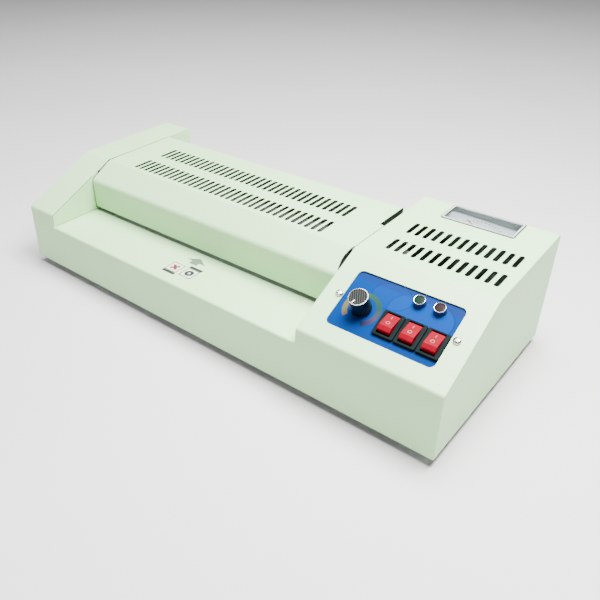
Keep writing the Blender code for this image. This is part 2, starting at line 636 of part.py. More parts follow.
def main():
    global PARTS, CUTTERS
    clear_scene()
    PARTS = bpy.data.collections.new("pouch_laminator")
    CUTTERS = bpy.data.collections.new("cutters")
    bpy.context.scene.collection.children.link(PARTS)
    bpy.context.scene.collection.children.link(CUTTERS)

    coat = paint("powder_coat", (0.72, 0.77, 0.68), 0.45)
    steel = paint("zinc_steel", (0.62, 0.63, 0.64), 0.35, 1.0)
    ground = paint("ground_steel", (0.70, 0.70, 0.72), 0.25, 1.0)
    screw = paint("plated_screw", (0.80, 0.80, 0.78), 0.25, 1.0)
    alu = paint("aluminium", (0.78, 0.79, 0.80), 0.35, 1.0)
    foot = paint("foot_rubber", (0.03, 0.03, 0.03), 0.8)
    silicone = paint("silicone_rubber", (0.45, 0.12, 0.08), 0.7)
    nylon = paint("gear_nylon", (0.85, 0.84, 0.78), 0.5)
    blue = paint("blue_plate", (0.0, 0.16, 0.62), 0.3)
    black = paint("knob_black", (0.01, 0.01, 0.012), 0.15)
    dark = paint("switch_black", (0.03, 0.04, 0.04), 0.3)
    red = paint("rocker_red", (0.75, 0.05, 0.06), 0.2)
    chrome = paint("lamp_chrome", (0.85, 0.85, 0.85), 0.15, 1.0)
    green_lens = paint("lens_green", (0.02, 0.22, 0.06), 0.15)
    red_lens = paint("lens_red", (0.20, 0.04, 0.03), 0.15)
    board = paint("board_green", (0.03, 0.20, 0.08), 0.5)
    needle = paint("needle_red", (0.8, 0.05, 0.03), 0.4)
    clear = paint("clear_plastic", (0.9, 0.95, 0.95), 0.05, 0.0, 0.35)

    make_case(coat)
    make_hood(coat)
    make_base(steel, foot, screw)
    make_gland(dark)
    make_frames(steel)
    make_drive(ground, silicone, nylon, alu)
    make_board(board)
    make_control_plate(blue, screw)
    make_knob(black, alu, ground, dark)
    make_lamp("green", LAMPS_UV[0], chrome, green_lens)
    make_lamp("red", LAMPS_UV[1], chrome, red_lens)
    for number, u in enumerate(SWITCH_U, 1):
        make_switch(number, u, dark, red)
    make_meter(dark, needle, clear)


main()
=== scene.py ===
"""Looks of the pouch laminator: shell, controls, print and materials around the CAD frame."""

import math

import bmesh
import bpy
from mathutils import Matrix, Vector


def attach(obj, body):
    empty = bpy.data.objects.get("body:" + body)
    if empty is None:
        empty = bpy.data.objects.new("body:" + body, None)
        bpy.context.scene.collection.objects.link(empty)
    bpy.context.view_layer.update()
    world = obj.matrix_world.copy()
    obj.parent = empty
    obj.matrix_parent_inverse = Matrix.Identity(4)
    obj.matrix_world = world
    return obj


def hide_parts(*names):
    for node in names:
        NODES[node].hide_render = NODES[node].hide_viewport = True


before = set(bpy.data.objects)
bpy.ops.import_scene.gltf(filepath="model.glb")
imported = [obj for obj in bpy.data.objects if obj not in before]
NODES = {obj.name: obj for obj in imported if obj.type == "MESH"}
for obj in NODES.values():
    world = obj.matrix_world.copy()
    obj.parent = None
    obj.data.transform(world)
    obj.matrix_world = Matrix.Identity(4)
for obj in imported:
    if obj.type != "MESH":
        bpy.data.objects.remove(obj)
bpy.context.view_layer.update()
MM = 0.001

# Sizes are in millimetres: X from the left side, Y from the front face, Z above the case's edge.
WIDTH, DEPTH, FOOT_H, SHEET, GAP = 500.0, 210.0, 8.0, 1.2, 0.3
FRONT_H, CREASE_Y, CREASE_H, REAR_H = 60.0, 82.0, 101.0, 106.0
CHEEK_X, HOUSING_X = 40.0, 370.0
TRAY_FRONT_H, TRAY_BACK_H, TRAY_Y, EXIT_Y = 46.0, 48.0, 64.0, 168.0
# The shell is drawn this far below its edge and then cut off flat.
BELOW = 12.0
# Cuts between cheek and housing reach 10 into both.
THROAT = (CHEEK_X - 10, HOUSING_X + 10)
GLAND_X, GLAND_H, GLAND_HOLE_R = 455.0, 24.0, 8.0

HOOD_FRONT_Y, HOOD_REAR_Y, HOOD_EDGE_H, HOOD_SIDE_GAP = 57.5, 175.0, 52.8, 1.2
HOOD_NOTCH_Y, HOOD_NOTCHES = (58.7, 84.0), (0.9, 3.4)
HOOD_RELIEF_Y, HOOD_RELIEF_W = 131.0, 5.6

# Vents: X of the first and last slot, slots in a row, and the Y range of each row.
CASE_VENTS = ((392.8, 488.6), 13, ((95.5, 116.5), (130.5, 152.5)))
HOOD_VENTS = ((82.0, 328.5), 34, ((85.5, 110.0), (124.0, 148.5)))
VENT_W = 4.3
# Heights between which the vents are cut.
VENT_CUT = (85, 115)

# The panel and the top are slopes: U runs along X, V up the slope and W out of it.
PANEL_TILT = math.atan2(CREASE_H - FRONT_H, CREASE_Y)
TOP_TILT = math.atan2(REAR_H - CREASE_H, DEPTH - CREASE_Y)
PLATE_U, PLATE_V, PLATE_W = (387.5, 482.5), (16.2, 73.0), -1.5
PLATE_SCREWS = {"left": (384.2, 44.6), "right": (487.2, 44.6)}
KNOB_UV, KNOB_R, KNOB_TOP = (408.0, 40.0), 8.6, 15.5
LAMPS = {"green": (446.6, 63.9), "red": (463.8, 63.9)}
SWITCH_U, SWITCH_V, SWITCH_W = (435.4, 454.1, 472.8), (23.4, 46.8), 18.2
ROCKER_W, ROCKER_V, ROCKER_DROP = 11.4, 35.4, -3.0
WINDOW_U, WINDOW_V = (402.0, 470.0), (95.0, 124.6)
METER_UV = (436.0, 99.5)

# Angles in degrees: faces that meet at less are shaded smooth, and edges sharper are bevelled.
SMOOTH_ANGLE, CORNER_ANGLE = 30, 35
# Points closer than this, in metres, are merged.
MERGE = 1e-6


# ---- placing and outlines ----------------------------------------------------------------

def at(x, y, z):
    """World position, in metres, of a point in case millimetres."""
    return Vector(((x - WIDTH / 2) * MM, (y - DEPTH / 2) * MM, (z + FOOT_H) * MM))


def basis(u, v, origin):
    """Matrix that carries a drawing's plane to the plane of u and v, in world directions."""
    u, v = Vector(u), Vector(v)
    w = u.cross(v)
    return Matrix([[u[i], v[i], w[i], origin[i]] for i in range(3)] + [[0, 0, 0, 1]])


def along_x(x=0.0, y=0.0, z=0.0):
    return basis((0, 1, 0), (0, 0, 1), at(x, y, z))


def upright(x=0.0, y=0.0, z=0.0):
    return basis((1, 0, 0), (0, 1, 0), at(x, y, z))


def slope(tilt, base_y, base_z, u, v, w):
    """Plane that rises to the rear at a tilt from the line at base_y and base_z."""
    c, s = math.cos(tilt), math.sin(tilt)
    return basis((1, 0, 0), (0, c, s), at(u, base_y + v * c - w * s, base_z + v * s + w * c))


def on_panel(u=0.0, v=0.0, w=0.0):
    return slope(PANEL_TILT, 0, FRONT_H, u, v, w)


def on_top(u=0.0, v=0.0, w=0.0):
    return slope(TOP_TILT, CREASE_Y, CREASE_H, u, v, w)


def on_tray(u=0.0, v=0.0, w=0.0):
    return slope(math.atan2(TRAY_BACK_H - TRAY_FRONT_H, TRAY_Y), 0, TRAY_FRONT_H, u, v, w)


def rounded(points, radii, steps=8):
    """Outline with arcs at its corners: one radius for all, or radii by corner number."""
    out = []
    for i, point in enumerate(points):
        p = Vector(point)
        r = radii.get(i, 0) if isinstance(radii, dict) else radii
        if not r:
            out.append(tuple(p))
            continue
        a = (Vector(points[i - 1]) - p).normalized()
        b = (Vector(points[(i + 1) % len(points)]) - p).normalized()
        half = a.angle(b) / 2
        centre = p + (a + b).normalized() * (r / math.sin(half))
        start = p + a * (r / math.tan(half)) - centre
        turn = start.angle_signed(p + b * (r / math.tan(half)) - centre)
        out += [tuple(centre + Matrix.Rotation(-turn * k / steps, 2) @ start)
                for k in range(steps + 1)]
    return out


def inset(points, t):
    """Outline moved inwards by t; the points run anticlockwise."""
    lines = []
    for i, point in enumerate(points):
        a, b = Vector(point), Vector(points[(i + 1) % len(points)])
        d = (b - a).normalized()
        lines.append((a + Vector((-d.y, d.x)) * t, d))
    out = []
    for i in range(len(points)):
        (p, d), (q, e) = lines[i - 1], lines[i]
        k = ((q - p).x * e.y - (q - p).y * e.x) / (d.x * e.y - d.y * e.x)
        out.append(tuple(p + d * k))
    return out


def rect(x0, x1, y0, y1, r=0.0, steps=8):
    return rounded([(x0, y0), (x1, y0), (x1, y1), (x0, y1)], r, steps)


def circle(x, y, r, steps=64):
    turn = 2 * math.pi / steps
    return [(x + r * math.cos(turn * i), y + r * math.sin(turn * i)) for i in range(steps)]


def slot(x, y0, y1, width, steps=8):
    r = width / 2
    turn = [math.pi * k / steps for k in range(steps + 1)]
    rear = [(x + r * math.cos(t), y1 - r + r * math.sin(t)) for t in turn]
    return rear + [(x - r * math.cos(t), y0 + r - r * math.sin(t)) for t in turn]


def rows_of_vents(x_range, count, rows):
    step = (x_range[1] - x_range[0]) / (count - 1)
    return [slot(x_range[0] + i * step, y0, y1, VENT_W) for y0, y1 in rows for i in range(count)]


def plus(arm, bar):
    """Outline of a cross whose arms reach arm and are bar wide to each side."""
    return [(-arm, -bar), (-bar, -bar), (-bar, -arm), (bar, -arm), (bar, -bar), (arm, -bar),
            (arm, bar), (bar, bar), (bar, arm), (-bar, arm), (-bar, bar), (-arm, bar)]


# ---- solids ------------------------------------------------------------------------------

def evaluated(obj):
    """Mesh of an object with its modifiers applied."""
    graph = bpy.context.evaluated_depsgraph_get()
    return bpy.data.meshes.new_from_object(obj.evaluated_get(graph))


def tidy(mesh, flat=None):
    """Merges doubles, turns the faces outwards and joins faces that meet at under flat degrees."""
    bm = bmesh.new()
    bm.from_mesh(mesh)
    bmesh.ops.remove_doubles(bm, verts=bm.verts, dist=MERGE)
    if flat:
        bmesh.ops.dissolve_limit(bm, angle_limit=math.radians(flat), verts=bm.verts,
                                 edges=bm.edges)
    bmesh.ops.recalc_face_normals(bm, faces=bm.faces)
    bm.to_mesh(mesh)
    bm.free()
    return mesh


def drop(obj):
    """Removes a helper object and its data."""
    data = obj.data
    bpy.data.objects.remove(obj)
    (bpy.data.curves if isinstance(data, bpy.types.Curve) else bpy.data.meshes).remove(data)


def temporary(name, data):
    obj = bpy.data.objects.new(name, data)
    bpy.context.scene.collection.objects.link(obj)
    return obj


def painted(mesh, look):
    """Gives every face of a mesh one look, which a boolean then carries over."""
    mesh.materials.clear()
    mesh.materials.append(MATS[look])
    return mesh


def prism(loops, w0, w1):
    """Solid between two heights over an outline, or over an outline with holes in it."""
    if isinstance(loops[0][0], (int, float)):
        loops = [loops]
    curve = bpy.data.curves.new("outline", "CURVE")
    curve.dimensions = "2D"
    curve.fill_mode = "BOTH"
    curve.extrude = abs(w1 - w0) / 2 * MM
    for loop in loops:
        spline = curve.splines.new("POLY")
        spline.points.add(len(loop) - 1)
        for point, (x, y) in zip(spline.points, loop):
            point.co = (x * MM, y * MM, 0, 1)
        spline.use_cyclic_u = True
    obj = temporary("outline", curve)
    mesh = tidy(evaluated(obj))
    drop(obj)
    mesh.transform(Matrix.Translation((0, 0, (w0 + w1) / 2 * MM)))
    return mesh


def lathe(profile, steps=96):
    """Solid turned round its W axis from a profile of (radius, height) points."""
    mesh = bpy.data.meshes.new("profile")
    closed = profile[0][0] > 0 and profile[-1][0] > 0
    count = len(profile)
    edges = [(i, (i + 1) % count) for i in range(count if closed else count - 1)]
    mesh.from_pydata([(r * MM, 0, h * MM) for r, h in profile], edges, [])
    obj = temporary("profile", mesh)
    screw = obj.modifiers.new("Screw", "SCREW")
    screw.axis = "Z"
    screw.steps = screw.render_steps = steps
    screw.use_merge_vertices = True
    screw.merge_threshold = MERGE
    mesh = tidy(evaluated(obj))
    drop(obj)
    return mesh


def boolean(mesh, matrix, steps):
    """Mesh after unions and cuts; each step is (operation, mesh, matrix) in the same world."""
    obj = temporary("base", mesh)
    obj.matrix_world = matrix
    tools = []
    for operation, other, place in steps:
        tool = temporary("tool", other)
        tool.matrix_world = place
        mod = obj.modifiers.new("Boolean", "BOOLEAN")
        mod.operation = operation
        mod.solver = "EXACT"
        mod.material_mode = "TRANSFER"
        mod.object = tool
        tools.append(tool)
    bpy.context.view_layer.update()
    out = evaluated(obj)
    for item in [obj] + tools:
        drop(item)
    bm = bmesh.new()
    bm.from_mesh(out)
    bmesh.ops.dissolve_degenerate(bm, dist=1e-7, edges=bm.edges)
    bm.to_mesh(out)
    bm.free()
    return out


def round_edges(mesh, width, segments, wanted):
    """Bevels the convex edges for which wanted(a, b) is true, with a and b in mesh millimetres."""
    bm = bmesh.new()
    bm.from_mesh(mesh)
    picked = []
    for edge in bm.edges:
        if len(edge.link_faces) != 2 or not edge.is_convex:
            continue
        if edge.calc_face_angle() < math.radians(CORNER_ANGLE):
            continue
        if wanted(edge.verts[0].co / MM, edge.verts[1].co / MM):
            picked.append(edge)
    bmesh.ops.bevel(bm, geom=picked, offset=width * MM, segments=segments, profile=0.5,
                    affect="EDGES", clamp_overlap=False, offset_type="OFFSET")
    bmesh.ops.recalc_face_normals(bm, faces=bm.faces)
    bm.to_mesh(mesh)
    bm.free()
    return mesh


def shade_by_area(mesh):
    """Sets corner normals weighted by face area, so that large flats stay flat beside bevels."""
    around = {v: [] for v in range(len(mesh.vertices))}
    for face in mesh.polygons:
        # slivers have no normal worth counting
        if face.area > 1e-12 and face.normal.length > 0.5:
            for v in face.vertices:
                around[v].append((face.normal.copy(), face.area))
    near = math.cos(math.radians(CORNER_ANGLE))
    normals = []
    for face in mesh.polygons:
        for v in face.vertices:
            total = Vector()
            for normal, area in around[v]:
                if normal.dot(face.normal) > near:
                    total += normal * area
            normals.append(total.normalized() if total.length else face.normal.copy())
    mesh.normals_split_custom_set(normals)


def piece(name, mesh, matrix, material, body, by_area=False):
    """Adds a mesh to the visual model as a piece that rides on a body."""
    obj = bpy.data.objects.new(name, mesh)
    mesh.name = name
    bpy.context.scene.collection.objects.link(obj)
    mesh.transform(matrix)
    if len(mesh.materials) < 2:
        mesh.materials.clear()
        mesh.materials.append(material)
    mesh.shade_smooth()
    mesh.set_sharp_from_angle(angle=math.radians(SMOOTH_ANGLE))
    if by_area:
        shade_by_area(mesh)
    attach(obj, body)
    return obj


# ---- material nodes ----------------------------------------------------------------------

class Paint:
    """A Principled material with short calls for the nodes behind it."""

    def __init__(self, name, **sockets):
        self.mat = bpy.data.materials.new(name)
        self.mat.use_nodes = True
        self.tree = self.mat.node_tree
        self.shader = self.tree.nodes["Principled BSDF"]
        self.position = self.node("ShaderNodeTexCoord").outputs["Object"]
        for key, value in sockets.items():
            self.set(key.replace("_", " "), value)

    def set(self, socket, value):
        target = self.shader.inputs[socket]
        if isinstance(value, bpy.types.NodeSocket):
            self.tree.links.new(value, target)
        elif isinstance(value, tuple) and len(value) == 3 and target.type == "RGBA":
            target.default_value = (*value, 1)
        else:
            target.default_value = value

    def node(self, kind, inputs=None, **props):
        node = self.tree.nodes.new(kind)
        for key, value in props.items():
            setattr(node, key, value)
        for key, value in (inputs or {}).items():
            if isinstance(value, bpy.types.NodeSocket):
                self.tree.links.new(value, node.inputs[key])
            elif isinstance(value, tuple) and node.inputs[key].type == "RGBA" and len(value) == 3:
                node.inputs[key].default_value = (*value, 1)
            else:
                node.inputs[key].default_value = value
        return node

    def math(self, operation, a, b=0.0):
        return self.node("ShaderNodeMath", {0: a, 1: b}, operation=operation).outputs[0]

    def product(self, a, b):
        return self.math("MULTIPLY", a, b)

    def dot(self, vector, direction):
        return self.node("ShaderNodeVectorMath", {0: vector, 1: direction},
                         operation="DOT_PRODUCT").outputs["Value"]

    def noise(self, scale, detail=3.0, rough=0.5, vector=None):
        inputs = {"Scale": scale, "Detail": detail, "Roughness": rough,
                  "Vector": vector or self.position}
        return self.node("ShaderNodeTexNoise", inputs).outputs["Fac"]

    def stretch(self, scale):
        inputs = {"Vector": self.position, "Scale": scale}
        return self.node("ShaderNodeMapping", inputs).outputs["Vector"]

    def ramp(self, value, stops):
        node = self.node("ShaderNodeValToRGB", {"Fac": value})
        points = node.color_ramp.elements
        while len(points) < len(stops):
            points.new(0.5)
        for point, (place, colour) in zip(points, stops):
            point.position = place
            point.color = (*colour, 1)
        return node.outputs["Color"]

    def mix(self, factor, a, b):
        node = self.node("ShaderNodeMix", {"Factor": factor}, data_type="RGBA")
        for socket, value in ((node.inputs[6], a), (node.inputs[7], b)):
            if isinstance(value, bpy.types.NodeSocket):
                self.tree.links.new(value, socket)
            else:
                socket.default_value = (*value, 1)
        return node.outputs[2]

    def span(self, value, low, high, to_low=0.0, to_high=1.0):
        inputs = {"Value": value, "From Min": low, "From Max": high, "To Min": to_low,
                  "To Max": to_high}
        return self.node("ShaderNodeMapRange", inputs).outputs[0]

    def until(self, value, limit, soft):
        """1 below a limit and 0 above it."""
        return self.span(value, limit - soft, limit + soft, 1.0, 0.0)

    def beyond(self, value, limit, soft):
        """0 below a limit and 1 above it."""
        return self.math("SUBTRACT", 1.0, self.until(value, limit, soft))

    def between(self, value, low, high, soft):
        """1 between two limits and 0 outside them."""
        return self.product(self.until(value, high, soft), self.beyond(value, low, soft))

    def bump(self, height, distance, strength=1.0, normal=None):
        inputs = {"Height": height, "Distance": distance, "Strength": strength}
        if normal:
            inputs["Normal"] = normal
        out = self.node("ShaderNodeBump", inputs).outputs["Normal"]
        self.set("Normal", out)
        return out


def powder_coat():
    """Pale grey-green powder coat: orange peel, a faint mottle, and soft dust in the gloss."""
    p = Paint("powder_coat", Specular_IOR_Level=0.5)
    broad = p.noise(9.0, 2.0)
    fine = p.noise(900.0, 3.0)
    tone = p.ramp(broad, [(0.35, (0.450, 0.725, 0.380)), (0.65, (0.470, 0.740, 0.400))])
    p.set("Base Color", p.mix(p.span(fine, 0.35, 0.65, 0.0, 0.06), tone, (0.36, 0.58, 0.31)))
    p.set("Roughness", p.span(p.noise(160.0, 4.0), 0.3, 0.7, 0.40, 0.50))
    peel = p.bump(p.noise(1500.0, 2.0), 0.00004, 0.5)
    p.bump(p.noise(420.0, 2.0), 0.00008, 0.35, peel)
    return p.mat


def sheet_steel(name, tone, rough, streak=(4, 900, 900)):
    """Metal with drawn streaks and a light stain."""
    p = Paint(name, Metallic=1.0)
    lines = p.noise(1.0, 4.0, 0.6, p.stretch(streak))
    stain = p.noise(30.0, 4.0)
    dark = tuple(c * 0.82 for c in tone)
    blend = p.math("ADD", p.product(lines, 0.6), p.product(stain, 0.4))
    p.set("Base Color", p.ramp(blend, [(0.3, dark), (0.7, tone)]))
    p.set("Roughness", p.span(stain, 0.3, 0.7, rough, rough + 0.15))
    p.bump(lines, 0.00002, 0.5)
    return p.mat


def moulded(name, tone, rough, grain=600.0, depth=0.00003, **sockets):
    """Moulded plastic or rubber: fine grain, uneven gloss and a little colour drift."""
    p = Paint(name, **sockets)
    drift = p.noise(60.0, 3.0)
    p.set("Base Color", p.ramp(drift, [(0.3, tuple(c * 0.86 for c in tone)), (0.7, tone)]))
    p.set("Roughness", p.span(p.noise(220.0, 3.0), 0.3, 0.7, rough * 0.8, rough * 1.25))
    p.bump(p.noise(grain, 2.0), depth, 0.5)
    return p.mat


def slope_uv(p, tilt, base_y, base_z, centre=(0.0, 0.0)):
    """Millimetres along X and up a slope, from a centre on it, as slope() measures them."""
    c, s = math.cos(tilt), math.sin(tilt)
    u = p.math("ADD", p.dot(p.position, (1 / MM, 0, 0)), WIDTH / 2 - centre[0])
    v = p.math("ADD", p.dot(p.position, (0, c / MM, s / MM)),
               (DEPTH / 2 - base_y) * c - (FOOT_H + base_z) * s - centre[1])
    return u, v


def ellipse(p, u, v, centre, radii):
    """Distance from an ellipse's centre, which is 1 on the ellipse."""
    a = p.math("DIVIDE", p.math("SUBTRACT", u, centre[0]), radii[0])
    b = p.math("DIVIDE", p.math("SUBTRACT", v, centre[1]), radii[1])
    return p.math("SQRT", p.math("ADD", p.product(a, a), p.product(b, b)))


def colour_scale(p, u, v):
    """Colour and strength of the round scale about the knob."""
    radius = ellipse(p, u, v, KNOB_UV, (1.0, 1.0))
    ring = p.between(radius, 11.8, 16.2, 0.3)
    angle = p.math("ARCTAN2", p.math("SUBTRACT", v, KNOB_UV[1]),
                   p.math("SUBTRACT", u, KNOB_UV[0]))
    turn = p.math("FRACT", p.math("ADD", p.math("DIVIDE", angle, -2 * math.pi), 1.75))
    colour = p.ramp(turn, [(0.0, (0.005, 0.008, 0.02)), (0.10, (0.10, 0.075, 0.03)),
                           (0.30, (0.13, 0.10, 0.025)), (0.50, (0.02, 0.06, 0.02)),
                           (0.68, (0.013, 0.045, 0.022)), (0.80, (0.05, 0.03, 0.05)),
                           (0.95, (0.005, 0.008, 0.015))])
    sweep = p.between(turn, 0.12, 0.93, 0.005)
    return colour, p.product(p.product(ring, sweep), 0.9)


def blue_print():
    """Printed control plate: blue field, violet band, pale discs and a round colour scale."""
    p = Paint("blue_plate", Specular_IOR_Level=0.015)
    u, v = slope_uv(p, PANEL_TILT, 0, FRONT_H)
    rise = p.span(p.math("ADD", v, p.product(u, -0.25)), -105.0, -30.0)
    field = p.ramp(rise, [(0.0, (0.0, 0.021, 0.112)), (0.5, (0.0, 0.026, 0.140)),
                          (1.0, (0.0, 0.029, 0.160))])
    cloud = p.span(p.noise(70.0, 3.0), 0.35, 0.65, 0.0, 0.12)
    colour = p.mix(cloud, field, (0.0, 0.036, 0.200))
    for centre, radii, amount in (((452, 53), (27, 19), 0.55), ((424, 60), (17, 12), 0.35)):
        d = ellipse(p, u, v, centre, radii)
        disc = p.product(p.until(d, 1.0, 0.02), amount)
        colour = p.mix(disc, colour, (0.0, 0.040, 0.215))
        rim = p.product(p.between(d, 0.99, 1.03, 0.02), 0.5)
        colour = p.mix(rim, colour, (0.0, 0.011, 0.085))
    band = p.beyond(p.math("ADD", v, p.product(u, 0.02)), 74.6, 1.2)
    speck = p.span(p.noise(900.0, 2.0), 0.4, 0.6, 0.25, 0.6)
    colour = p.mix(p.product(band, speck), colour, (0.012, 0.018, 0.075))
    scale, strength = colour_scale(p, u, v)
    p.set("Base Color", p.mix(strength, colour, scale))
    p.set("Roughness", p.span(p.noise(300.0, 2.0), 0.3, 0.7, 0.26, 0.38))
    p.bump(p.noise(1200.0, 2.0), 0.00002, 0.4)
    return p.mat


def knob_face():
    """Fine straight lines across a dark cap."""
    p = Paint("knob_face", Specular_IOR_Level=0.05)
    wave = p.math("SINE", p.product(p.dot(p.position, (640.0, 380.0, 0.0)), 5.0))
    tones = [(0.2, (0.005, 0.006, 0.006)), (0.8, (0.036, 0.040, 0.036))]
    p.set("Base Color", p.ramp(p.span(wave, -1, 1), tones))
    p.set("Roughness", p.span(p.noise(300.0), 0.3, 0.7, 0.35, 0.5))
    p.bump(wave, 0.00004, 0.8)
    return p.mat


def clear_plastic():
    """Slightly uneven clear cover."""
    p = Paint("clear_plastic", Transmission_Weight=1.0, IOR=1.46)
    tones = [(0.3, (0.90, 0.94, 0.93)), (0.7, (0.96, 0.98, 0.98))]
    p.set("Base Color", p.ramp(p.noise(40.0), tones))
    p.set("Roughness", p.span(p.noise(250.0), 0.3, 0.7, 0.03, 0.09))
    p.bump(p.noise(300.0, 2.0), 0.00001, 0.3)
    return p.mat


def meter_print():
    """Bluish card with a simple arc of ticks."""
    p = Paint("meter_card")
    u, v = slope_uv(p, TOP_TILT, CREASE_Y, CREASE_H, METER_UV)
    radius = p.math("SQRT", p.math("ADD", p.product(u, u), p.product(v, v)))
    angle = p.math("ARCTAN2", v, u)
    tick = p.beyond(p.math("SINE", p.product(angle, 36.0)), 0.7, 0.1)
    ring = p.between(radius, 18.5, 21.5, 0.15)
    fan = p.between(angle, 0.62, 2.5, 0.01)
    paper = p.ramp(p.noise(50.0), [(0.3, (0.70, 0.78, 0.84)), (0.7, (0.76, 0.83, 0.90))])
    ink = p.product(p.product(tick, ring), fan)
    p.set("Base Color", p.mix(ink, paper, (0.05, 0.06, 0.07)))
    p.set("Roughness", p.span(p.noise(200.0), 0.3, 0.7, 0.45, 0.6))
    return p.mat


MATS = {
    "coat": powder_coat(),
    "inside": moulded("inside", (0.420, 0.500, 0.430), 0.60, 500.0, 0.00003,
                      Specular_IOR_Level=0.2),
    # Near-black painted shade for vent walls, grooves, the hood's ends and the patch behind them,
    # so that narrow gaps read dark.
    "shade": moulded("painted_shade_edge", (0.042, 0.064, 0.047), 0.60, 500.0, 0.00003,
                     Specular_IOR_Level=0.15),
    "zinc": sheet_steel("zinc_steel", (0.60, 0.62, 0.63), 0.32),
    "ground": sheet_steel("ground_steel", (0.70, 0.70, 0.71), 0.22, (900, 4, 900)),
    "plated": sheet_steel("plated_screw", (0.84, 0.83, 0.79), 0.16, (500, 500, 500)),
    "alu": sheet_steel("aluminium", (0.78, 0.79, 0.80), 0.30),
    "chrome": sheet_steel("lamp_chrome", (0.82, 0.83, 0.83), 0.18, (300, 300, 300)),
    "foot": moulded("foot_rubber", (0.035, 0.035, 0.035), 0.75, 900.0, 0.0001),
    "silicone": moulded("silicone_rubber", (0.045, 0.048, 0.044), 0.55),
    "nylon": moulded("gear_nylon", (0.16, 0.17, 0.15), 0.45),
    "black": moulded("knob_black", (0.002, 0.005, 0.006), 0.10, 300.0, 0.00001,
                     Specular_IOR_Level=0.4),
    "dark": moulded("switch_black", (0.0035, 0.0085, 0.0085), 0.45, 700.0, 0.00002,
                    Specular_IOR_Level=0.03),
    "red": moulded("rocker_red", (0.20, 0.0004, 0.010), 0.25, 300.0, 0.00001,
                   Specular_IOR_Level=0.08),
    "mark": moulded("mark_white", (0.40, 0.14, 0.15), 0.40),
    # Plate blue on the lamp collar is a painted reflection of the blue plate around it.
    "collar": moulded("lamp_collar_plate_reflection", (0.012, 0.040, 0.140), 0.40, 300.0, 0.00001,
                      Specular_IOR_Level=0.2),
    "green_lens": moulded("lens_green", (0.005, 0.019, 0.010), 0.35, 200.0, 0.00001,
                          Specular_IOR_Level=0.04),
    "red_lens": moulded("lens_red", (0.018, 0.009, 0.009), 0.35, 200.0, 0.00001,
                        Specular_IOR_Level=0.04),
    "board": moulded("board_green", (0.03, 0.18, 0.07), 0.45),
    "needle": moulded("needle_red", (0.60, 0.05, 0.03), 0.40),
    "cup": moulded("meter_cup", (0.30, 0.36, 0.32), 0.35),
    # The pale ring colour below is a painted highlight of the pane's edge; the dark look after it
    # serves the real frame and painted shade in the gap inside the pale ring.
    "painted_highlight": moulded("meter_highlight_ring", (0.72, 0.76, 0.74), 0.22),
    "outline": moulded("meter_outline_and_gap_shade", (0.050, 0.060, 0.056), 0.30),
    "label": moulded("label_paper", (0.74, 0.76, 0.66), 0.50),
    "ink_dark": moulded("print_dark", (0.010, 0.016, 0.014), 0.55),
    "ink_red": moulded("print_red", (0.14, 0.012, 0.020), 0.55),
    "ink_brown": moulded("print_brown", (0.15, 0.060, 0.050), 0.55),
    "ink_grey": moulded("print_grey", (0.115, 0.160, 0.118), 0.55),
    "pointer": moulded("pointer_white", (0.85, 0.85, 0.83), 0.35),
    "blue": blue_print(),
    "face": knob_face(),
    "clear": clear_plastic(),
    "card": meter_print(),
}

CAD_LOOKS = {
    "base_plate": "zinc", "side_frame_": "zinc", "tie_rod_": "zinc", "motor_bracket": "zinc",
    "gear_motor": "zinc", "shaft_": "ground", "knob_shaft": "ground", "foot_screw_": "plated",
    "plate_screw_": "plated", "heater_": "alu", "knob_cap": "alu", "foot_": "foot",
    "roller_": "silicone", "gear_": "nylon", "idler_gear": "nylon", "motor_pinion": "nylon",
    "control_plate": "blue", "knob": "black", "cord_gland": "dark", "potentiometer": "dark",
    "switch_bezel_": "dark", "meter_box": "cup", "rocker_": "red", "lamp_bezel_": "chrome",
    "lamp_lens_green": "green_lens", "lamp_lens_red": "red_lens", "control_board": "board",
    "meter_needle": "needle", "meter_window": "clear", "main_case": "coat", "hood": "coat",
}


def dress_cad():
    """Puts a look on every slot of the CAD nodes, by the longest name that fits."""
    for name, node in NODES.items():
        keys = [k for k in CAD_LOOKS if name == k or name.startswith(k)]
        look = MATS[CAD_LOOKS[max(keys, key=len)]]
        for slot_item in node.material_slots:
            slot_item.material = look


# ---- shell -------------------------------------------------------------------------------

def side_profile():
    return [(0, -BELOW), (DEPTH, -BELOW), (DEPTH, REAR_H), (CREASE_Y, CREASE_H), (0, FRONT_H)]


def box(x0, x1, y0, y1, z0, z1):
    return prism(rect(x0, x1, y0, y1), z0, z1)


def cuts_of(tools, look):
    """Steps for boolean() that cut with tools and leave one look on the faces they make."""
    return [("DIFFERENCE", painted(mesh, look), matrix) for mesh, matrix in tools]


def seam_path(depth, length=64.0, foot=47.3):
    """Path at a depth below the outline: up the front edge, round the corner, up the slope."""
    c, s = math.cos(PANEL_TILT), math.sin(PANEL_TILT)
    corner = (depth, FRONT_H + depth * (s - 1) / c)
    end = (length * c + depth * s, FRONT_H + length * s - depth * c)
    return rounded([(depth, foot), corner, end], {1: 3.4 - depth}, 8)


def seam_groove():
    """Open seam between the folded cheek and its inner side sheet."""
    return seam_path(0.62) + seam_path(1.22)[::-1]


def foot_groove():
    """Thin joint where the side sheet meets the feed tray."""
    rise = (TRAY_BACK_H - TRAY_FRONT_H) / TRAY_Y
    low = [(y, TRAY_FRONT_H + rise * y + 0.15) for y in (3.0, HOOD_FRONT_Y)]
    return low + [(y, z + 0.45) for y, z in low[::-1]]


def hood_gap_shade():
    """Outline of a shallow patch on the side sheet behind the hood's ends, painted near-black as
    painted shade in the gap.
    """
    front, rear = HOOD_FRONT_Y + 0.5, HOOD_REAR_Y - 0.6
    outline = [(front, 50.5), (rear, 50.5), (rear, 103.7), (CREASE_Y, 100.0), (front - 0.6, 84.0)]
    return rounded(outline, {2: 2.0, 3: 8.0, 4: 5.0}, 8)


